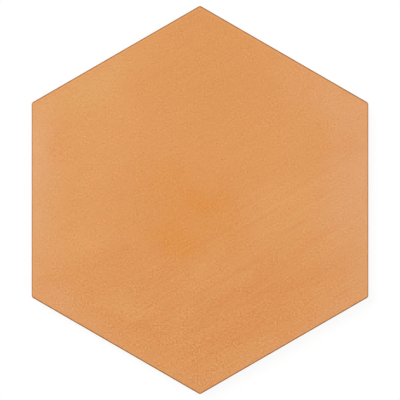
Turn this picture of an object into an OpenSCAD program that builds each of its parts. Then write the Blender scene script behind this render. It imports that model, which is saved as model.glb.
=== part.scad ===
// Hexagonal porcelain floor and wall tile, dry-pressed and glazed on the wearing face.
// One fired piece. It lies face up, with its centre on the Z axis, two corners on the Y axis
// and its bedding ribs on Z = 0.

/* [Outline] */
// Distance across two opposite sides of the wearing face
across_flats = 175; // [120:1:300]
// Thickness over everything, from the bedding ribs to the wearing face
thickness = 9; // [8:0.5:14]
// Length by which each sharp corner is blunted, along its diagonal
corner_nip = 0.2; // [0.1:0.05:0.5]

/* [Edge] */
// Radius of the eased arris round the wearing face
arris_r = 0.8; // [0.4:0.1:1.5]
// Height of the upright land that faces the neighbouring tiles
land_h = 4; // [3:0.5:5]
// How far the side leans in between the land and the back
edge_setback = 1; // [0.4:0.1:2]

/* [Keyed back] */
// Pitch of the honeycomb pockets, measured across their flats
cell_pitch = 17.5; // [10:0.5:30]
// Width of a bedding rib at its top, between two pockets
rib_w = 1.5; // [1:0.1:4]
// Depth of the pockets
key_depth = 0.7; // [0.4:0.1:1.2]
// Slope of the pocket walls, away from upright
key_draft = 45; // [20:5:60]
// Width of the plain margin round the back
margin_w = 7; // [4:0.5:15]
// Narrowest cut pocket that the die keeps at the margin
least_cut = 4; // [3:0.5:8]

/* [Hidden] */
$fn = 96;

glaze_color = [0.87, 0.61, 0.38];
sides = 6;
corner_angle = 360 / sides;

// Half widths, each measured square to a side of the hexagon
face_half = across_flats / 2;
back_half = face_half - edge_setback;
margin_half = back_half - margin_w;
pocket_half = (cell_pitch - rib_w) / 2;

// Half diagonal of the face, before and after its corners are blunted
corner_reach = face_half / cos(corner_angle / 2);
blunt_half = corner_reach - corner_nip;

// Height where the leaning lower side meets the upright land
land_z = thickness - arris_r - land_h;

// Distance that a pocket's cutting solid runs out below the ribs
cut_past = 1;
// Distance that a pocket wall leans in over the pocket's depth
wall_run = key_depth * tan(key_draft);

// Rings of pockets that the margin can still reach from the middle
cell_rings = ceil(margin_half / cell_pitch) + 1;

// Greatest distance of a point from the middle, measured square to the hexagon's sides
function hex_distance(point) =
    max([for (turn = [0 : corner_angle : 180 - corner_angle])
        abs(point * [cos(turn), sin(turn)])]);

// Centre of the pocket at a place in the honeycomb, counted along two of its rows
function cell_centre(along, up) =
    [along + up * cos(corner_angle), up * sin(corner_angle)] * cell_pitch;

// Whether what the margin leaves of a pocket is wide enough to press
function is_kept(centre) =
    margin_half - (hex_distance(centre) - pocket_half) >= least_cut;

// Whether a pocket reaches into the margin, and so is cut off by it
function is_cut(centre) = hex_distance(centre) + pocket_half > margin_half;

// Solid with the same section through each of its three pairs of opposite sides
module hexagonal(reach) {
    intersection_for (turn = [0 : corner_angle : 180 - corner_angle])
        rotate(turn)
            rotate([90, 0, 0])
                linear_extrude(height = 2 * reach, center = true)
                    children();
}

// Section of the tile between two opposite sides: eased arris, upright land, leaning foot
module tile_section(half) {
    arris_x = half - arris_r;
    arris_z = thickness - arris_r;
    foot_x = half - edge_setback;
    polygon([
        [-foot_x, 0], [foot_x, 0],
        [half, land_z], [half, arris_z], [arris_x, thickness],
        [-arris_x, thickness], [-half, arris_z], [-half, land_z]
    ]);
    for (side = [-1, 1])
        translate([side * arris_x, arris_z])
            circle(r = arris_r);
}

// Section of a pocket: it narrows from its mouth at Z = 0 to its floor at key_depth
module pocket_section(half) {
    mouth_x = half + cut_past * tan(key_draft);
    floor_x = half - wall_run;
    polygon([
        [-mouth_x, -cut_past], [mouth_x, -cut_past],
        [floor_x, key_depth], [-floor_x, key_depth]
    ]);
}

// The pressed blank: a hexagon whose corners a second one, turned half a side, takes off
module blank() {
    intersection() {
        hexagonal(across_flats) tile_section(face_half);
        rotate(corner_angle / 2)
            hexagonal(across_flats) tile_section(blunt_half);
    }
}

// Honeycomb of shallow drafted pockets that keys the back into its adhesive
module key_pockets() {
    for (up = [-cell_rings : cell_rings], along = [-cell_rings : cell_rings]) {
        centre = cell_centre(along, up);
        if (is_kept(centre)) {
            if (is_cut(centre))
                intersection() {
                    translate(centre) hexagonal(cell_pitch) pocket_section(pocket_half);
                    hexagonal(across_flats) pocket_section(margin_half);
                }
            else
                translate(centre) hexagonal(cell_pitch) pocket_section(pocket_half);
        }
    }
}

// The whole tile, one fired piece
module tile() {
    color(glaze_color)
        difference() {
            blank();
            key_pockets();
        }
}

tile();
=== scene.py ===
import math

import bpy
import numpy as np
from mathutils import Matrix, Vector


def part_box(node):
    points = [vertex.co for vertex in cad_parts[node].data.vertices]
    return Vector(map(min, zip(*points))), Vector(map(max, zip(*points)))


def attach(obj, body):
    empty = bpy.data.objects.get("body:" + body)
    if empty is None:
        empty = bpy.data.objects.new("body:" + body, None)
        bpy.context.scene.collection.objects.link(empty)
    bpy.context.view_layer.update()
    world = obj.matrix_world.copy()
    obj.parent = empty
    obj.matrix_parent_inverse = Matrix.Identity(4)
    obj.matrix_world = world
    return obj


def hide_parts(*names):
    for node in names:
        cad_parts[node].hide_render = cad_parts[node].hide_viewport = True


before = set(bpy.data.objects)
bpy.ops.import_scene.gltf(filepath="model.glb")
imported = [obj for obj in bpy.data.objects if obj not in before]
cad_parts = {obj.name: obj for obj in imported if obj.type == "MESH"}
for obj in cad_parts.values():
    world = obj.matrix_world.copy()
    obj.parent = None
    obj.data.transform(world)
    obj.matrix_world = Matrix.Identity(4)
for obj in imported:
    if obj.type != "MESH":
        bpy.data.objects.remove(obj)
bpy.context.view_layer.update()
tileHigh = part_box("tile")[1]
mm = 0.001
print("frame loaded, nodes:", sorted(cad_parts))


# The fired tile, as one closed surface. All its lengths are in mm.

firedTile = {
    "rings": 120,            # lattice rings from the middle to a side, on the face and the back
    "arrisRadius": 0.8,
    "arrisSteps": 7,
    "landHeight": 4.0,       # upright part of the side
    "landRows": (0.3, 0.6, 0.9, 1.2, 1.6, 2.6),  # below its top, closer by the glaze line
    "footSetback": 1.0,      # the side leans in by this much below the land
    "footSteps": 4,
    "cellPitch": 17.5,       # honeycomb of the back
    "ribWidth": 1.5,
    "keyDepth": 0.7,
    "marginWidth": 7.0,
    "leastCut": 4.0,         # narrowest cut pocket
    "glazeThickness": 0.05,  # the glaze stands proud of the body on the side
    "glazeLine": 7.35,       # height where the glaze ends on the side
    "glazeRagged": 0.35,     # this line wanders up and down
    "glazeFade": 0.2,        # the glaze thins out over this much above and below its line
    "sideUnevenness": 0.012,
    "sideStretch": 6.0,      # its waves are this many times shorter up and down than along
    "landFade": 0.6,         # the land is even at its top and fully uneven this far below it
    "faceWaviness": 0.022,
    "faceFade": 5.0,         # its waviness dies out over this much inside the rim
    "faceShares": (0.7, 0.3),  # of the swell and of the ripple in its waviness
    "backWaviness": 0.014,
    "backFade": 2.0,
    "backShares": (0.5, 0.5),
    # sine waves of each surface: shortest, longest, how many
    "glazeWaves": (3, 24, 30),
    "sideWaves": (6, 30, 20),
    "faceSwell": (18, 70, 14),
    "faceRipple": (4, 11, 26),
    "backSwell": (9, 40, 14),
    "backRipple": (2.5, 6, 26),
    "seed": 7,
    "crease": 35,            # degrees; sharper edges than this aren't smoothed over
}

halfWidth = tileHigh.x / mm
topHeight = tileHigh.z / mm
cornerReach = halfWidth / math.cos(math.radians(30))
cornerNip = cornerReach - tileHigh.y / mm


# Smooth ripple over the plane: a sum of sine waves whose lengths lie between a shortest and a
# longest, each with a direction and a phase of its own, divided by 1.6 times the root of their
# number, which few places exceed.
def ripple(x, y, waves, seed):
    shortest, longest, count = waves
    rng = np.random.default_rng(seed)
    length = np.exp(rng.uniform(math.log(shortest), math.log(longest), count))
    turn = rng.uniform(0, 2 * math.pi, count)
    phase = rng.uniform(0, 2 * math.pi, count)
    total = np.zeros(np.broadcast(x, y).shape)
    for k in range(count):
        along = x * math.cos(turn[k]) + y * math.sin(turn[k])
        total += np.sin(2 * math.pi * along / length[k] + phase[k])
    usualPeak = 1.6 * math.sqrt(count)
    return total / usualPeak


# Distance of each point from the middle, square to the nearest pair of sides of a hexagon that
# has two corners on Y: the greatest of |x|, |x/2 + y*sin 60| and |x/2 - y*sin 60|.
def hexDistance(x, y):
    rise = math.sin(math.radians(60))
    return np.maximum(np.abs(x), np.maximum(np.abs(x / 2 + y * rise), np.abs(x / 2 - y * rise)))


# 0 at low, 1 at high, and t*t*(3 - 2t) between them.
def smoothStep(value, low, high):
    t = np.clip((value - low) / (high - low), 0, 1)
    return t * t * (3 - 2 * t)


# Triangular lattice that fills a hexagon: q and r count steps towards two corners 60 degrees
# apart, and a point belongs where |q|, |r| and |q + r| are all at most the number of rings.
# Gives the points for a hexagon of half width 1 per ring, the ring of each point, the triangles,
# and the numbers of the outermost ring's points, anticlockwise.
def hexLattice(rings):
    span = np.arange(-rings, rings + 1)
    q, r = np.meshgrid(span, span, indexing="ij")
    inside = np.abs(q + r) <= rings
    number = np.full(q.shape, -1)
    number[inside] = np.arange(inside.sum())

    step = 1 / math.cos(math.radians(30))
    cornerA = np.array([math.cos(math.radians(30)), math.sin(math.radians(30))]) * step
    cornerB = np.array([0.0, 1.0]) * step
    points = q[inside][:, None] * cornerA + r[inside][:, None] * cornerB
    ring = np.maximum(np.abs(q), np.maximum(np.abs(r), np.abs(q + r)))[inside]

    here, right, up, both = number[:-1, :-1], number[1:, :-1], number[:-1, 1:], number[1:, 1:]
    lower = np.stack([here, right, up], -1).reshape(-1, 3)
    upper = np.stack([right, both, up], -1).reshape(-1, 3)
    triangles = np.concatenate([lower, upper])
    triangles = triangles[(triangles >= 0).all(1)]

    t = np.arange(rings)
    full = np.full(rings, rings)
    rimQ = np.concatenate([rings - t, -t, -full, t - rings, t, full])
    rimR = np.concatenate([t, full, rings - t, -t, -full, t - rings])
    return points, ring, triangles, number[rimQ + rings, rimR + rings]


# How far each point of the rim is drawn in: not at all, but for the six blunted corners.
def rimBlunting(rim):
    blunt = np.ones(len(rim))
    blunt[::len(rim) // 6] = 1 - cornerNip / cornerReach
    return blunt[:, None]


# Waviness of the face or the back: a mean height, more or less by a share of a long swell and
# one of a shorter ripple, but never below 0 or over twice the mean. It dies out at the rim.
def waviness(form, part, x, y, half, seed):
    swellShare, rippleShare = form[part + "Shares"]
    swell = ripple(x, y, form[part + "Swell"], seed)
    fine = ripple(x, y, form[part + "Ripple"], seed + 1)
    fade = smoothStep(half - hexDistance(x, y), 0, form[part + "Fade"])
    uneven = (1 + swellShare * swell + rippleShare * fine).clip(0, 2)
    return form[part + "Waviness"] * fade * uneven


# Face: flat but for a very slight waviness, only downwards.
def faceSurface(form, unit, rim):
    half = halfWidth - form["arrisRadius"]
    flat = unit * (half / form["rings"])
    flat[rim] *= rimBlunting(rim)
    x, y = flat.T
    return np.column_stack([flat, topHeight - waviness(form, "face", x, y, half, form["seed"])])


# Depth of the honeycomb at each point of the back: the distance inside the mouth of its own
# pocket, or inside the plain margin where that is less, held between 0 and the key depth, so
# that the walls slope at 45 degrees. Pockets that the margin leaves too narrow are left out.
def pocketDepth(x, y, form):
    pitch = form["cellPitch"]
    marginHalf = halfWidth - form["footSetback"] - form["marginWidth"]
    pocketHalf = (pitch - form["ribWidth"]) / 2
    rise = math.sin(math.radians(60))

    nearestRow = np.round(y / (pitch * rise))
    away = np.full(x.shape, np.inf)
    centreX, centreY = np.zeros(x.shape), np.zeros(x.shape)
    for rowShift in (-1, 0, 1):
        row = nearestRow + rowShift
        along = np.round(x / pitch - row / 2)
        cellX, cellY = (along + row / 2) * pitch, row * pitch * rise
        cellAway = hexDistance(x - cellX, y - cellY)
        nearer = cellAway < away
        away = np.where(nearer, cellAway, away)
        centreX, centreY = np.where(nearer, cellX, centreX), np.where(nearer, cellY, centreY)

    slack = 1e-6
    kept = marginHalf - (hexDistance(centreX, centreY) - pocketHalf) >= form["leastCut"] - slack
    insideMouth = np.minimum(pocketHalf - away, marginHalf - hexDistance(x, y))
    return np.clip(insideMouth, 0, form["keyDepth"]) * kept


# Back: the honeycomb with a slight waviness, only upwards. The lattice has its rows on the
# pockets' walls, and the rings of the margin are drawn in so that the last one ends the foot.
def backSurface(form, unit, ring, rim):
    rings = form["rings"]
    half = halfWidth - form["footSetback"]
    step = halfWidth / rings
    lastFull = round((half - form["marginWidth"]) / step)
    reach = np.interp(ring, [0, lastFull, rings], [0, lastFull * step, half])
    flat = unit * (reach / np.maximum(ring, 1))[:, None]
    flat[rim] *= rimBlunting(rim)
    x, y = flat.T
    lift = waviness(form, "back", x, y, half, form["seed"] + 2)
    return np.column_stack([flat, pocketDepth(x, y, form) + lift])


# The side's profile, from the rim of the face down to the rim of the back: a quarter circle,
# an upright line and a leaning line, as distances in from the land and heights.
def sideProfile(form):
    radius = form["arrisRadius"]
    landTop = topHeight - radius
    landFoot = landTop - form["landHeight"]
    turn = np.radians(np.linspace(0, 90, form["arrisSteps"] + 1))[1:]
    arris = np.stack([radius * (1 - np.sin(turn)), landTop + radius * np.cos(turn)], 1)
    upright = np.append(landTop - np.array(form["landRows"]), landFoot)
    land = np.stack([np.zeros(len(upright)), upright], 1)
    lean = np.linspace(0, 1, form["footSteps"] + 1)[1:-1]
    foot = np.stack([form["footSetback"] * lean, landFoot * (1 - lean)], 1)
    return np.concatenate([arris, land, foot])


# Side: the profile carried round the outline. The glaze stands proud of the body down to a
# ragged line, and the land is slightly uneven. Gives rows of points from the top down, and how
# far glaze covers each of them, from 0 to 1.
def sideSurface(form, unit, rim):
    outline = unit[rim] / form["rings"]
    inset, height = sideProfile(form).T
    inset, height = inset[:, None], height[:, None]
    x, y = outline.T * halfWidth
    wander = ripple(x, y, form["glazeWaves"], form["seed"] + 4)
    line = form["glazeLine"] + form["glazeRagged"] * wander
    cover = smoothStep(height, line - form["glazeFade"], line + form["glazeFade"])

    unrolled = y[None, :] + height * form["sideStretch"]
    uneven = ripple(x[None, :], unrolled, form["sideWaves"], form["seed"] + 5)
    uneven = form["sideUnevenness"] * (1 + uneven).clip(0, 2)
    landTop = topHeight - form["arrisRadius"]
    onLand = smoothStep(height, landTop, landTop - form["landFade"])
    reach = halfWidth - inset - (form["glazeThickness"] * (1 - cover) + uneven) * onLand
    flat = outline[None] * reach[:, :, None] * rimBlunting(rim)[None]
    return np.dstack([flat, np.broadcast_to(height, reach.shape)]), cover


# The whole tile: face, side and back sewn together along their rims. Gives the points in
# metres, the triangles, the finish of each triangle (0 face and arris, 1 side, 2 back) and how
# far glaze covers each point.
def buildTile(form):
    unit, ring, triangles, rim = hexLattice(form["rings"])
    face, back = faceSurface(form, unit, rim), backSurface(form, unit, ring, rim)
    side, cover = sideSurface(form, unit, rim)
    points = np.concatenate([face, side.reshape(-1, 3), back])

    rows, columns = cover.shape
    sideNumber = len(face) + np.arange(rows * columns).reshape(rows, columns)
    backFirst = len(face) + rows * columns
    grid = np.vstack([rim[None], sideNumber, backFirst + rim[None]])
    upperLeft, upperRightSheen = grid[:-1], np.roll(grid[:-1], -1, 1)
    lowerLeft, lowerRight = grid[1:], np.roll(grid[1:], -1, 1)
    band = np.concatenate([
        np.stack([upperLeft, lowerLeft, lowerRight], -1).reshape(-1, 3),
        np.stack([upperLeft, lowerRight, upperRightSheen], -1).reshape(-1, 3),
    ])
    faces = np.concatenate([triangles, band, backFirst + triangles[:, ::-1]])

    bandRow = np.tile(np.repeat(np.arange(rows + 1), columns), 2)
    bandFinish = np.where(bandRow < form["arrisSteps"], 0, 1)
    finish = np.concatenate([np.zeros(len(triangles)), bandFinish, np.full(len(triangles), 2)])
    covered = np.concatenate([np.ones(len(face)), cover.reshape(-1), np.zeros(len(back))])
    return points * mm, faces, finish, covered


# Puts point and triangle arrays into a mesh, smooth but for creases over an angle in degrees.
def meshFrom(name, points, faces, crease):
    mesh = bpy.data.meshes.new(name)
    mesh.vertices.add(len(points))
    mesh.vertices.foreach_set("co", points.astype(np.float32).ravel())
    mesh.loops.add(faces.size)
    mesh.loops.foreach_set("vertex_index", faces.astype(np.int32).ravel())
    mesh.polygons.add(len(faces))
    mesh.polygons.foreach_set("loop_start", np.arange(0, faces.size, 3, dtype=np.int32))
    mesh.update(calc_edges=True)
    mesh.validate()
    mesh.shade_smooth()
    mesh.set_sharp_from_angle(angle=math.radians(crease))
    piece = bpy.data.objects.new(name, mesh)
    bpy.context.scene.collection.objects.link(piece)
    return piece


points, faces, finish, covered = buildTile(firedTile)
tilePiece = meshFrom("firedTile", points, faces, firedTile["crease"])
tilePiece.data.polygons.foreach_set("material_index", finish.astype(np.int32))
coverLayer = tilePiece.data.attributes.new("glazeCover", "FLOAT", "POINT")
coverLayer.data.foreach_set("value", covered.astype(np.float32))
print("tile surface:", len(points), "points,", len(faces), "triangles")


# Small helpers for node trees. A value may be a number, a tuple or another node's socket. In the
# node editor the nodes stand in rows of nine.

def addNode(tree, kind, values=None, **settings):
    node = tree.nodes.new("ShaderNode" + kind)
    row, column = divmod(len(tree.nodes) - 1, 9)
    node.location = (column * 210, -row * 300)
    for name, value in settings.items():
        setattr(node, name, value)
    for key, value in (values or {}).items():
        if isinstance(value, bpy.types.NodeSocket):
            tree.links.new(value, node.inputs[key])
        else:
            node.inputs[key].default_value = value
    return node


def calculate(tree, operation, first, second=0.0):
    return addNode(tree, "Math", {0: first, 1: second}, operation=operation).outputs[0]


def times(tree, first, second):
    return calculate(tree, "MULTIPLY", first, second)


def vectorOf(tree, operation, *values):
    return addNode(tree, "VectorMath", dict(enumerate(values)), operation=operation).outputs[0]


# X, Y or Z of a place.
def partOf(tree, place, axis):
    return addNode(tree, "SeparateXYZ", {0: place}).outputs[axis]


def mixColours(tree, factor, first, second, blend="MIX"):
    values = {0: factor, 6: first, 7: second}
    return addNode(tree, "Mix", values, data_type="RGBA", blend_type=blend).outputs[2]


def remap(tree, value, low, high, toLow=0.0, toHigh=1.0, kind="SMOOTHSTEP"):
    values = {0: value, 1: low, 2: high, 3: toLow, 4: toHigh}
    return addNode(tree, "MapRange", values, interpolation_type=kind).outputs[0]


def noiseOf(tree, place, scale, detail=2.0, roughness=0.5):
    values = {"Vector": place, "Scale": scale, "Detail": detail, "Roughness": roughness}
    return addNode(tree, "TexNoise", values).outputs


# The same noise as a value around 0.
def swingOf(tree, place, scale, detail=2.0, roughness=0.5):
    return calculate(tree, "SUBTRACT", noiseOf(tree, place, scale, detail, roughness)["Fac"], 0.5)


def colour(red, green, blue):
    return (red, green, blue, 1.0)


# Starts a node group with the inputs and outputs that the two dictionaries name.
def startGroup(name, inputs, outputs):
    tree = bpy.data.node_groups.new(name, "ShaderNodeTree")
    kinds = {"value": "NodeSocketFloat", "place": "NodeSocketVector", "colour": "NodeSocketColor"}
    for socketName, (kind, start) in inputs.items():
        socket = tree.interface.new_socket(
            name=socketName, in_out="INPUT", socket_type=kinds[kind])
        if start is not None:
            socket.default_value = start
    for socketName, kind in outputs.items():
        tree.interface.new_socket(name=socketName, in_out="OUTPUT", socket_type=kinds[kind])
    entry = tree.nodes.new("NodeGroupInput")
    leave = tree.nodes.new("NodeGroupOutput")
    entry.location, leave.location = (-260, 0), (2100, 0)
    return tree, entry.outputs, leave.inputs


def useGroup(tree, group, values):
    return addNode(tree, "Group", values, node_tree=group).outputs


# Place on the tile in millimetres, from the Object coordinates.
def placeInMm(tree):
    coordinates = addNode(tree, "TexCoord").outputs["Object"]
    return addNode(tree, "VectorMath", {0: coordinates, 3: 1 / mm}, operation="SCALE").outputs[0]


# Effects that several finishes share

# How far a place lies in from the sides of the hexagon: its half width less the greatest of
# three distances from the middle, each square to one pair of sides.
def makeEdgeDistance():
    tree, given, out = startGroup(
        "edgeDistance",
        {"Place": ("place", None), "Half Width": ("value", halfWidth)},
        {"Distance": "value"})
    reach = None
    for turn in np.radians([0, 60, 120]):
        values = {0: given["Place"], 1: (math.cos(turn), math.sin(turn), 0)}
        dot = addNode(tree, "VectorMath", values, operation="DOT_PRODUCT").outputs["Value"]
        size = calculate(tree, "ABSOLUTE", dot)
        reach = size if reach is None else calculate(tree, "MAXIMUM", reach, size)
    tree.links.new(calculate(tree, "SUBTRACT", given["Half Width"], reach), out["Distance"])
    return tree


# Oval patch with a soft rim: its strength at the centre, falling to 0 at its reach along and
# across.
def makeSoftPatch():
    tree, given, out = startGroup(
        "softPatch",
        {"Place": ("place", None), "Centre": ("place", (0, 0, 0)), "Turn": ("place", (0, 0, 0)),
         "Reach": ("place", (20, 20, 20)), "Strength": ("value", 1.0)},
        {"Mask": "value"})
    values = {"Vector": given["Place"], "Location": given["Centre"], "Rotation": given["Turn"],
              "Scale": given["Reach"]}
    own = addNode(tree, "Mapping", values, vector_type="TEXTURE").outputs[0]
    away = addNode(tree, "VectorMath", {0: own}, operation="LENGTH").outputs["Value"]
    tree.links.new(times(tree, remap(tree, away, 1.0, 0.0), given["Strength"]), out["Mask"])
    return tree


# Fine grain of a dry glaze or a pressed body, as a height around 0: noise with one grain in the
# given size, and noise about three times finer on it by the share of fines.
def makeFireGrain():
    tree, given, out = startGroup(
        "fireGrain",
        {"Place": ("place", None), "Grain Size": ("value", 0.9), "Fines": ("value", 0.5)},
        {"Height": "value"})
    scale = calculate(tree, "DIVIDE", 1.0, given["Grain Size"])
    grain = swingOf(tree, given["Place"], scale, detail=0.0)
    finesScale = times(tree, scale, 3.1)
    fines = swingOf(tree, given["Place"], finesScale, detail=1.0, roughness=0.7)
    height = calculate(tree, "ADD", grain, times(tree, fines, given["Fines"]))
    tree.links.new(height, out["Height"])
    return tree


# Scattered round specks with soft rims, each between 0.4 and 1.4 times the radius, as a mask.
def makeSpecks():
    tree, given, out = startGroup(
        "specks",
        {"Place": ("place", None), "Spacing": ("value", 2.0), "Share": ("value", 0.3),
         "Radius": ("value", 0.2)},
        {"Mask": "value"})
    scale = calculate(tree, "DIVIDE", 1.0, given["Spacing"])
    cells = addNode(tree, "TexVoronoi", {"Vector": given["Place"], "Scale": scale}).outputs
    lot = addNode(tree, "SeparateColor", {0: cells["Color"]}).outputs
    chosen = calculate(tree, "LESS_THAN", lot[0], given["Share"])
    size = times(tree, given["Radius"], calculate(tree, "ADD", lot[1], 0.4))
    core = times(tree, size, 0.5)
    dot = remap(tree, cells["Distance"], size, core)
    tree.links.new(times(tree, chosen, dot), out["Mask"])
    return tree


# Soft clouds between 0 and 1, about one cloud in the given size. Noise seldom leaves the range
# from 0.3 to 0.7, which is spread over all of it.
def makeClouds():
    tree, given, out = startGroup(
        "clouds",
        {"Place": ("place", None), "Cloud Size": ("value", 40.0), "Detail": ("value", 3.0)},
        {"Mask": "value"})
    scale = calculate(tree, "DIVIDE", 1.0, given["Cloud Size"])
    drift = noiseOf(tree, given["Place"], scale, given["Detail"])["Fac"]
    tree.links.new(remap(tree, drift, 0.3, 0.7), out["Mask"])
    return tree


edgeDistance, softPatch = makeEdgeDistance(), makeSoftPatch()
fireGrain, specks, clouds = makeFireGrain(), makeSpecks(), makeClouds()
print("shared effects ready")


# Matt orange glaze. Lengths are in mm, scales in waves per mm, and relief of height 1 stands up
# by the bump depth.

glazeLook = {
    "base": colour(0.704, 0.290, 0.084),
    # the pale and milk tones are painted sheen along the sides and corners
    "paleSheen": colour(0.740, 0.368, 0.172),
    "milkSheen": colour(0.738, 0.385, 0.176),
    "sand": colour(0.722, 0.322, 0.104),
    "mint": colour(0.706, 0.349, 0.113),
    "straw": colour(0.732, 0.342, 0.102),
    "glow": colour(0.745, 0.340, 0.115),
    "shade": colour(0.680, 0.281, 0.076),
    "rust": colour(0.688, 0.249, 0.072),
    "deep": colour(0.700, 0.252, 0.034),
    # colour along the arris: glaze run thin, darkened further by painted shade
    "arris": colour(0.340, 0.105, 0.006),
    "reliefLight": (0.315, 0.312, 0.197),  # what relief of height 1 adds to the colour
    "bumpDepth": 0.06,
    "roughness": 0.59,
    "roughClouds": 0.06,     # rougher by this in the clouds
    "roughRelief": 0.12,     # and by this where relief has height 1
    "cloudSize": 30.0,
    "cloudShare": 0.45,      # of the sand tone in the clouds
    "wanderScale": 0.045,    # the tone patches' rims wander at this scale
    "wanderReach": (34, 34, 0),
    "mottleSize": 4.0,
    "mottle": (0.050, 0.032, 0.018),  # how far each part of the colour strays on its own
    "grainSize": 0.9,
    "grainHeight": 0.33,
    "grainBelow": 1.75,      # times as high at the bottom corner
    "grainSpan": (-8.0, -90.0),  # Y where the grain starts to rise, and where it has risen
    "grainPatchSize": 7.0,
    "grainPatchSpan": (0.35, 0.65),  # noise where a patch is smooth, and where it is busy
    "grainPatches": (0.60, 1.38),  # times as high in the smooth and in the busy patches
    "fines": 1.3,
    "pits": {"Spacing": 2.1, "Share": 0.30, "Radius": 0.15},
    "pitDepth": 0.25,
    "brushTurn": 30.0,       # degrees that the brushed lines rise to the right
    "brushScale": (0.0102, 0.85),  # along and across the lines
    "brushHeight": 0.15,
    "brushSpan": (20.0, -40.0),  # from half that height to all of it, across the lines
    "streakStretch": 0.12,   # scale along the wiped streaks, as a share of that across them
    "wiped": ((30, -44), (86, 52), 24),  # their patch: centre, reach, turn in degrees
    "broadStreaks": (0.16, 0.46, 0.68, "rust", 0.6),  # scale, noise from and to, tone, strength
    "narrowStreaks": (0.7, 0.50, 0.75, "glow", 0.3),
    # painted sheen: paler towards the sides, more so in the clouds than between them, and below
    # than above
    "rimSheenReach": 13.0,
    "rimSheenCloudSize": 14.0,
    "rimSheenCloudShare": (0.1, 0.6),
    "rimSheenSpan": (62.0, 20.0),  # Y where the rim starts to be paler, and where it is palest
    "rimSheenSpanShare": (0.1, 0.6),
    "rimSheenFoot": (-58.0, -82.0),  # Y where it gets less pale again, and where it is least so
    "rimSheenFootShare": 0.40,
    # glaze run thin on the arris and darkened there by painted shade, with a painted highlight
    # lighter just inside it
    "runScale": 0.35,
    "runReach": 0.35,
    "highlightSpan": (2.6, 1.0),
    "highlightShare": 0.35,
    "thinAndShadeSpan": (0.84, 0.46),
    "thinAndShadeShare": (0.95, 0.46),  # on the sides that slant, and on the two along Y
    "thinAndShadeSideAt": (0.9, 0.6),  # inside the greatest X, where those two begin and are reached
    "thinAndShadeHeights": (-0.60, -0.30),  # below the face, where the thin line begins and is full
    # name: centre, reach along and across, turn in degrees, tone, strength
    "patches": {
        "leftShoulder": ((-56, 22), (64, 34), 90, "sand", 0.60),
        "leftUpper": ((-38, 48), (20, 14), 60, "sand", 0.40),
        "upperLeft": ((-56, 59), (46, 16), 32, "mint", 0.78),
        "leftLow": ((-64, -22), (36, 22), 0, "glow", 0.56),
        "rightInner": ((50, 22), (30, 42), 0, "sand", 0.40),
        "rightMiddle": ((54, -5), (38, 26), -10, "glow", 0.52),
        "rightCloud": ((50, -11), (28, 19), 10, "sand", 0.80),
        "lowCloud": ((3, -46), (26, 13), 32, "straw", 0.88),
        "lowMiddle": ((-18, -72), (26, 9), 24, "sand", 0.55),
        "lowLeftCloud": ((-40, -58), (26, 15), -20, "sand", 0.80),
        "topShade": ((5, 67), (56, 42), 0, "shade", 0.75),
        "topTip": ((-4, 94), (32, 17), 0, "shade", 0.90),
        "middleShade": ((12, 28), (42, 32), -30, "deep", 0.20),
        "heart": ((-8, -6), (44, 36), -20, "deep", 0.45),
        "heartShoulder": ((-22, 13), (17, 13), 0, "deep", 0.20),
        "heartUpper": ((1, -2), (19, 12), -35, "deep", 0.52),
        "heartLower": ((-16, -20), (26, 9), -12, "deep", 0.48),
        "heartRight": ((18, -17), (20, 14), 0, "deep", 0.26),
        "wipeWide": ((37, -49), (56, 18), 24, "rust", 0.40),
        "wipeNarrow": ((20, -71), (44, 10), 25, "rust", 0.36),
        "wipeUpper": ((26, -43), (28, 10), 24, "rust", 0.52),
        "wipeMiddle": ((12, -60), (25, 9), 22, "rust", 0.36),
        "wipeShade": ((6, -59), (24, 11), 14, "shade", 0.45),
        "lowLeftRust": ((-31, -69), (18, 10), 0, "rust", 0.52),
        "heartFoot": ((-25, -27), (14, 11), 0, "rust", 0.36),
        "bottomTip": ((0, -96), (30, 14), 0, "rust", 0.30),
        "leftRust": ((-40, -36), (38, 13), -12, "rust", 0.25),
        "yolk": ((-32, -4), (16, 11), 0, "shade", 0.45),
        # painted sheen: these pale and milk patches along the sides and corners
        "upperRightSheen": ((72, 50), (46, 27), -40, "paleSheen", 0.47),
        "rightCornerSheen": ((79, -53), (24, 20), 0, "paleSheen", 0.24),
        "leftCornerSheen": ((-80, -55), (30, 18), 0, "paleSheen", 0.40),
        "leftSideSheen": ((-94, 14), (84, 28), 90, "milkSheen", 0.92),
        "rightSideSheen": ((94, 4), (74, 42), 90, "paleSheen", 0.74),
        "rightSpot": ((81, 29), (15, 12), 90, "rust", 0.30),
    },
    # name: middle along and across the brush, reach along and across, height
    "brushLines": {
        "longRidge": ((35, -22.3), (78, 0.8), 0.045),
        "longGroove": ((8, -20.1), (60, 0.7), -0.03),
        "leftRidge": ((-40, -17.7), (62, 0.8), 0.04),
        "lowRidge": ((2, -55.7), (46, 0.8), 0.05),
        "lowGroove": ((18, -63.7), (44, 0.8), -0.04),
        "cornerGroove": ((-45, -45.5), (26, 0.8), -0.04),
        "topGroove": ((18, 67.7), (64, 0.8), -0.04),
    },
}


def patchMask(tree, place, centre, reach, turn=0.0, strength=1.0):
    return useGroup(tree, softPatch, {
        "Place": place, "Centre": (*centre, 0), "Turn": (0, 0, math.radians(turn)),
        "Reach": (*reach, 1), "Strength": strength})["Mask"]


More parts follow.
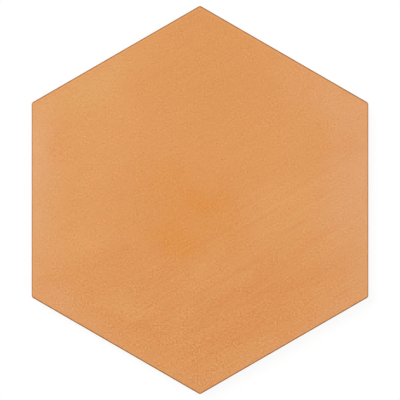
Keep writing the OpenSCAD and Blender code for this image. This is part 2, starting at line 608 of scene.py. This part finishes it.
# Tone patches over soft clouds. They are read at a place that wanders, so that no rim is a
# plain oval, and each part of the colour then strays a little from spot to spot on its own.
def glazeTone(tree, look, place, flat, drift):
    wander = noiseOf(tree, place, look["wanderScale"], detail=3.0)["Color"]
    wander = vectorOf(tree, "SUBTRACT", wander, (0.5, 0.5, 0.5))
    roaming = vectorOf(tree, "MULTIPLY_ADD", wander, look["wanderReach"], flat)
    tone = mixColours(tree, times(tree, drift, look["cloudShare"]), look["base"], look["sand"])
    for (centre, reach, turn, toneName, strength) in look["patches"].values():
        mask = patchMask(tree, roaming, centre, reach, turn, strength)
        tone = mixColours(tree, mask, tone, look[toneName])
    spots = noiseOf(tree, flat, 1 / look["mottleSize"], roughness=0.6)["Color"]
    spots = vectorOf(tree, "SUBTRACT", spots, (0.5, 0.5, 0.5))
    return vectorOf(tree, "MULTIPLY_ADD", look["mottle"], spots, tone)


# Relief: fine grain that is higher in busy patches than in smooth ones and towards the bottom
# corner, noise stretched along the brush's way, a few long ridges and grooves, and pinholes.
def glazeRelief(tree, look, place, flat, brushed):
    grain = useGroup(tree, fireGrain, {
        "Place": flat, "Grain Size": look["grainSize"], "Fines": look["fines"]})["Height"]
    higher = remap(tree, partOf(tree, flat, "Y"), *look["grainSpan"], 1.0, look["grainBelow"])
    busy = noiseOf(tree, flat, 1 / look["grainPatchSize"])["Fac"]
    busy = remap(tree, busy, *look["grainPatchSpan"], *look["grainPatches"])
    grain = times(tree, times(tree, grain, busy), times(tree, higher, look["grainHeight"]))

    stretched = vectorOf(tree, "MULTIPLY", brushed, (*look["brushScale"], 1))
    full = look["brushHeight"]
    hairHeight = remap(tree, partOf(tree, brushed, "Y"), *look["brushSpan"], full / 2, full)
    hair = times(tree, swingOf(tree, stretched, 1.0, detail=1.0), hairHeight)
    relief = calculate(tree, "ADD", grain, hair)
    for (centre, reach, height) in look["brushLines"].values():
        line = patchMask(tree, brushed, centre, reach, strength=height)
        relief = calculate(tree, "ADD", relief, line)
    pits = useGroup(tree, specks, {"Place": place, **look["pits"]})["Mask"]
    return calculate(tree, "SUBTRACT", relief, times(tree, pits, look["pitDepth"]))


# Wiped streaks along the brush's way, inside one large patch of the lower right.
def wipeStreaks(tree, look, flat, brushed, tone):
    streaked = vectorOf(tree, "MULTIPLY", brushed, (look["streakStretch"], 1, 1))
    wiped = patchMask(tree, flat, *look["wiped"])
    for streaks in ("broadStreaks", "narrowStreaks"):
        scale, low, high, toneName, strength = look[streaks]
        mask = remap(tree, noiseOf(tree, streaked, scale)["Fac"], low, high)
        mask = times(tree, times(tree, mask, wiped), strength)
        tone = mixColours(tree, mask, tone, look[toneName])
    return tone


# Towards the sides the glaze gets a painted sheen, paler in clouds, more so below than above but
# less so again at the bottom corner. Just inside the arris a painted highlight makes it lighter,
# and along the arris it is dark from glaze run thin and from painted shade, less so on the two
# sides along Y.
def edgeTone(tree, look, place, tone):
    fromSide = useGroup(tree, edgeDistance, {"Place": place})["Distance"]
    patchy = useGroup(tree, clouds, {"Place": place, "Cloud Size": look["rimSheenCloudSize"]})["Mask"]
    # Painted sheen: the glaze is made paler towards the sides, in clouds.
    rim = times(tree, remap(tree, fromSide, look["rimSheenReach"], 0.0),
                remap(tree, patchy, 0.0, 1.0, *look["rimSheenCloudShare"]))
    lower = remap(tree, partOf(tree, place, "Y"), *look["rimSheenSpan"], *look["rimSheenSpanShare"])
    foot = remap(tree, partOf(tree, place, "Y"), *look["rimSheenFoot"], 1.0, look["rimSheenFootShare"])
    rim = times(tree, rim, times(tree, lower, foot))
    tone = mixColours(tree, rim, tone, look["paleSheen"])

    uneven = times(tree, swingOf(tree, place, look["runScale"]), look["runReach"])
    shifted = calculate(tree, "ADD", fromSide, uneven)
    # Painted highlight: a lighter band just inside the arris.
    insideHighlight = times(tree, remap(tree, shifted, *look["highlightSpan"]), look["highlightShare"])
    tone = mixColours(tree, insideHighlight, tone, look["glow"])
    # Along the arris the glaze runs thin and painted shade darkens it, more on the sides that
    # slant than on the two along Y.
    lowest, fullFrom = look["thinAndShadeHeights"]
    onArris = remap(tree, partOf(tree, place, "Z"), topHeight + lowest, topHeight + fullFrom)
    aside = calculate(tree, "ABSOLUTE", partOf(tree, place, "X"))
    inside = calculate(tree, "SUBTRACT", halfWidth, aside)
    share = remap(tree, inside, *look["thinAndShadeSideAt"], *look["thinAndShadeShare"])
    thin = times(tree, times(tree, remap(tree, shifted, *look["thinAndShadeSpan"]), share), onArris)
    return mixColours(tree, thin, tone, look["arris"])


# Colour, roughness and height of the glaze, from the place alone.
def makeGlaze(look):
    tree, given, out = startGroup(
        "orangeGlaze", {"Place": ("place", None)},
        {"Color": "colour", "Roughness": "value", "Height": "value"})
    place = given["Place"]
    flat = vectorOf(tree, "MULTIPLY", place, (1, 1, 0))
    turned = {"Vector": flat, "Rotation": (0, 0, -math.radians(look["brushTurn"]))}
    brushed = addNode(tree, "Mapping", turned).outputs[0]
    drift = useGroup(tree, clouds, {
        "Place": place, "Cloud Size": look["cloudSize"], "Detail": 4.0})["Mask"]

    relief = glazeRelief(tree, look, place, flat, brushed)
    tone = glazeTone(tree, look, place, flat, drift)
    tone = wipeStreaks(tree, look, flat, brushed, tone)
    tone = vectorOf(tree, "MULTIPLY_ADD", look["reliefLight"], relief, tone)
    tone = edgeTone(tree, look, place, tone)

    rough = calculate(tree, "ADD", times(tree, drift, look["roughClouds"]), look["roughness"])
    rough = calculate(tree, "ADD", rough, times(tree, relief, look["roughRelief"]))
    tree.links.new(tone, out["Color"])
    tree.links.new(rough, out["Roughness"])
    tree.links.new(relief, out["Height"])
    return tree


# Fired porcelain body, in the same units

bodyLook = {
    "clay": colour(0.660, 0.555, 0.450),
    "clayDark": colour(0.585, 0.480, 0.380),
    "speckDark": colour(0.190, 0.140, 0.095),
    "speckPale": colour(0.700, 0.640, 0.540),
    "kilnWash": colour(0.760, 0.730, 0.680),
    "dust": colour(0.700, 0.660, 0.590),
    "reliefLight": (0.20, 0.17, 0.13),
    "roughness": 0.82,
    "roughClouds": 0.06,
    "cloudSize": 16.0,
    "darkSpecks": {"Spacing": 1.7, "Share": 0.30, "Radius": 0.15},
    "darkShare": 0.8,
    "paleSpecks": {"Spacing": 1.1, "Share": 0.35, "Radius": 0.17},
    "paleShare": 0.6,
    "paleDepth": 0.3,        # the pale specks lie this far below the grain
    "grain": {"Grain Size": 0.45, "Fines": 0.6},
    # side
    "sideBump": 0.10,
    "raggedScale": 1.3,      # fine raggedness of the glaze's lower border
    "raggedSpan": (0.42, 0.58),
    "glazeOverBody": 0.30,   # how far the body darkens the thin glaze on the side
    "sideDustSize": 3.0,
    "sideDust": (0.16, 0.02),  # share on the body and on the glaze
    # back
    "backBump": 0.12,
    "washHeights": (0.30, 0.08),  # the wash begins at the first height and is full at the second
    "washCloudSize": 5.0,
    "washShare": (0.35, 0.95),
    "backDustSize": 2.2,
    "backDust": 0.12,
}


# Colour, roughness and height of the unglazed body: clouded clay with dark and pale specks.
def makeBody(look):
    tree, given, out = startGroup(
        "firedBody", {"Place": ("place", None)},
        {"Color": "colour", "Roughness": "value", "Height": "value"})
    place = given["Place"]
    cloud = useGroup(tree, clouds, {
        "Place": place, "Cloud Size": look["cloudSize"], "Detail": 4.0})["Mask"]
    dark = useGroup(tree, specks, {"Place": place, **look["darkSpecks"]})["Mask"]
    paleSheen = useGroup(tree, specks, {"Place": place, **look["paleSpecks"]})["Mask"]
    grain = useGroup(tree, fireGrain, {"Place": place, **look["grain"]})["Height"]
    tone = mixColours(tree, cloud, look["clay"], look["clayDark"])
    tone = mixColours(tree, times(tree, paleSheen, look["paleShare"]), tone, look["speckPale"])
    tone = mixColours(tree, times(tree, dark, look["darkShare"]), tone, look["speckDark"])
    tone = vectorOf(tree, "MULTIPLY_ADD", look["reliefLight"], grain, tone)
    rough = calculate(tree, "ADD", times(tree, cloud, look["roughClouds"]), look["roughness"])
    height = calculate(tree, "SUBTRACT", grain, times(tree, paleSheen, look["paleDepth"]))
    tree.links.new(tone, out["Color"])
    tree.links.new(rough, out["Roughness"])
    tree.links.new(height, out["Height"])
    return tree


orangeGlaze, firedBody = makeGlaze(glazeLook), makeBody(bodyLook)


specularLevel = 0.35         # of every finish: all of them are dry to the touch


# A material whose Principled BSDF takes what its build function gives: a colour, a roughness, a
# height and the depth in mm that a height of 1 stands for.
def finishFrom(name, build):
    material = bpy.data.materials.new(name)
    material.use_nodes = True
    tree = material.node_tree
    shader = tree.nodes["Principled BSDF"]
    tone, rough, height, depth = build(tree)
    bump = addNode(tree, "Bump", {"Strength": 1.0, "Distance": depth * mm, "Height": height})
    tree.links.new(tone, shader.inputs["Base Color"])
    tree.links.new(rough, shader.inputs["Roughness"])
    tree.links.new(bump.outputs["Normal"], shader.inputs["Normal"])
    shader.inputs["Specular IOR Level"].default_value = specularLevel
    shader.location = (1900, 200)
    return material


def buildFace(tree):
    glaze = useGroup(tree, orangeGlaze, {"Place": placeInMm(tree)})
    return glaze["Color"], glaze["Roughness"], glaze["Height"], glazeLook["bumpDepth"]


# The side is body below the glaze line and glaze above it, with a finely ragged border.
def buildSide(tree):
    look, place = bodyLook, placeInMm(tree)
    glaze = useGroup(tree, orangeGlaze, {"Place": place})
    body = useGroup(tree, firedBody, {"Place": place})
    cover = addNode(tree, "Attribute", attribute_name="glazeCover").outputs["Fac"]
    ragged = swingOf(tree, place, look["raggedScale"], detail=3.0)
    mask = remap(tree, calculate(tree, "ADD", cover, ragged), *look["raggedSpan"])
    thin = mixColours(tree, look["glazeOverBody"], glaze["Color"], body["Color"], "MULTIPLY")
    tone = mixColours(tree, mask, body["Color"], thin)
    roughs = {0: mask, 2: body["Roughness"], 3: glaze["Roughness"]}
    rough = addNode(tree, "Mix", roughs).outputs[0]
    heights = {0: mask, 2: body["Height"], 3: glaze["Height"]}
    height = addNode(tree, "Mix", heights).outputs[0]
    dusty = useGroup(tree, clouds, {"Place": place, "Cloud Size": look["sideDustSize"]})["Mask"]
    dusty = times(tree, dusty, remap(tree, mask, 0.0, 1.0, *look["sideDust"]))
    return mixColours(tree, dusty, tone, look["dust"]), rough, height, look["sideBump"]


# The back is body with a pale kiln wash on what stood on the rollers, the ribs and the margin.
def buildBack(tree):
    look, place = bodyLook, placeInMm(tree)
    body = useGroup(tree, firedBody, {"Place": place})
    raised = remap(tree, partOf(tree, place, "Z"), *look["washHeights"])
    patchy = useGroup(tree, clouds, {
        "Place": place, "Cloud Size": look["washCloudSize"], "Detail": 5.0})["Mask"]
    wash = times(tree, raised, remap(tree, patchy, 0.0, 1.0, *look["washShare"]))
    tone = mixColours(tree, wash, body["Color"], look["kilnWash"])
    dusty = useGroup(tree, clouds, {"Place": place, "Cloud Size": look["backDustSize"]})["Mask"]
    tone = mixColours(tree, times(tree, dusty, look["backDust"]), tone, look["dust"])
    return tone, body["Roughness"], body["Height"], look["backBump"]


# In the order of the numbers that buildTile gives the triangles
finishes = {"mattGlaze": buildFace, "pressedSide": buildSide, "keyedBack": buildBack}
for finishName, build in finishes.items():
    tilePiece.data.materials.append(finishFrom(finishName, build))
tilePiece.data.update()
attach(tilePiece, "root")
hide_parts("tile")
print("finishes ready:", [material.name for material in tilePiece.data.materials])


# Floor, light and camera

studio = {
    "floorSize": 6.0,        # m
    "floorDrop": 0.0001,     # m below the tile
    "floorTone": 0.80,       # of the light that it throws back
    "floorWhite": 1.06,      # strength of the white that is seen
    "floorShadow": 0.18,     # share of the floor's own shading that is seen close to the tile
    "shadowReach": (0.16, 0.45),  # m from the middle, over which that share fades out
    "skyLight": 0.30,
    # place and size in m, power in W
    "keyBox": ((-0.55, 0.60, 1.25), 0.9, 14.0),
    "fillBox": ((0.75, -0.45, 1.10), 1.0, 6.0),
    "lens": 100.0,           # mm
    "sensor": 36.0,          # mm
    "clip": (0.01, 30.0),    # m
    "viewWidth": 0.2079,     # m that the camera takes in at the tile's outline
}


# 1 for what is seen directly, in gloss or through glass, and 0 for light on its way.
def seenPlainly(tree):
    rays = addNode(tree, "LightPath").outputs
    seen = calculate(tree, "ADD", rays["Is Camera Ray"], rays["Is Glossy Ray"])
    seen = calculate(tree, "ADD", seen, rays["Is Transmission Ray"])
    return calculate(tree, "MINIMUM", seen, 1.0)


# Floor: a pale surface that is seen as plain white, but for a share of its own shading close to
# the tile, which keeps the tile's shadow.
def addFloor():
    half, drop = studio["floorSize"] / 2, studio["floorDrop"]
    signs = ((-1, -1), (1, -1), (1, 1), (-1, 1))
    corners = [(x * half, y * half, -drop) for x, y in signs]
    mesh = bpy.data.meshes.new("floor")
    mesh.from_pydata(corners, [], [(0, 1, 2, 3)])
    floor = bpy.data.objects.new("floor", mesh)
    bpy.context.scene.collection.objects.link(floor)

    material = bpy.data.materials.new("paleFloor")
    material.use_nodes = True
    tree = material.node_tree
    tree.nodes.clear()
    own = addNode(tree, "BsdfDiffuse", {"Color": colour(*[studio["floorTone"]] * 3)}).outputs[0]
    glow = {"Color": colour(1, 1, 1), "Strength": studio["floorWhite"]}
    white = addNode(tree, "Emission", glow).outputs[0]
    place = addNode(tree, "TexCoord").outputs["Object"]
    away = addNode(tree, "VectorMath", {0: place}, operation="LENGTH").outputs["Value"]
    share = remap(tree, away, *studio["shadowReach"], studio["floorShadow"], 0.0)
    plain = times(tree, seenPlainly(tree), calculate(tree, "SUBTRACT", 1.0, share))
    mixed = addNode(tree, "MixShader", {0: plain, 1: own, 2: white}).outputs[0]
    addNode(tree, "OutputMaterial", {"Surface": mixed})
    mesh.materials.append(material)


# World: seen as plain white, and lighting the tile with less.
def addSky():
    world = bpy.data.worlds.new("studioWorld")
    world.use_nodes = True
    tree = world.node_tree
    tree.nodes.clear()
    strength = remap(tree, seenPlainly(tree), 0.0, 1.0, studio["skyLight"], 1.0, "LINEAR")
    sky = addNode(tree, "Background", {"Color": colour(1, 1, 1), "Strength": strength}).outputs[0]
    addNode(tree, "OutputWorld", {"Surface": sky})
    bpy.context.scene.world = world


# Square soft box at a place, turned to face the tile.
def addSoftBox(name, place, size, power):
    light = bpy.data.lights.new(name, "AREA")
    light.shape, light.size, light.energy = "SQUARE", size, power
    box = bpy.data.objects.new(name, light)
    box.location = place
    lean = math.atan2(math.hypot(place[0], place[1]), place[2])
    box.rotation_euler = (lean, 0, math.atan2(place[1], place[0]) + math.pi / 2)
    bpy.context.scene.collection.objects.link(box)


# Camera straight above the middle, at the height where it takes in the view's width.
def addCamera():
    data = bpy.data.cameras.new("overheadCamera")
    data.lens = studio["lens"]
    data.sensor_width = studio["sensor"]
    data.clip_start, data.clip_end = studio["clip"]
    camera = bpy.data.objects.new("overheadCamera", data)
    outlineHeight = tileHigh.z - firedTile["arrisRadius"] * mm
    camera.location = (0, 0, outlineHeight + studio["viewWidth"] * data.lens / data.sensor_width)
    bpy.context.scene.collection.objects.link(camera)
    bpy.context.scene.camera = camera
    print("camera at", round(camera.location.z, 4), "m")


addFloor()
addSky()
for boxName in ("keyBox", "fillBox"):
    addSoftBox(boxName, *studio[boxName])
addCamera()
bpy.context.scene.view_settings.view_transform = "Standard"
print("studio ready")
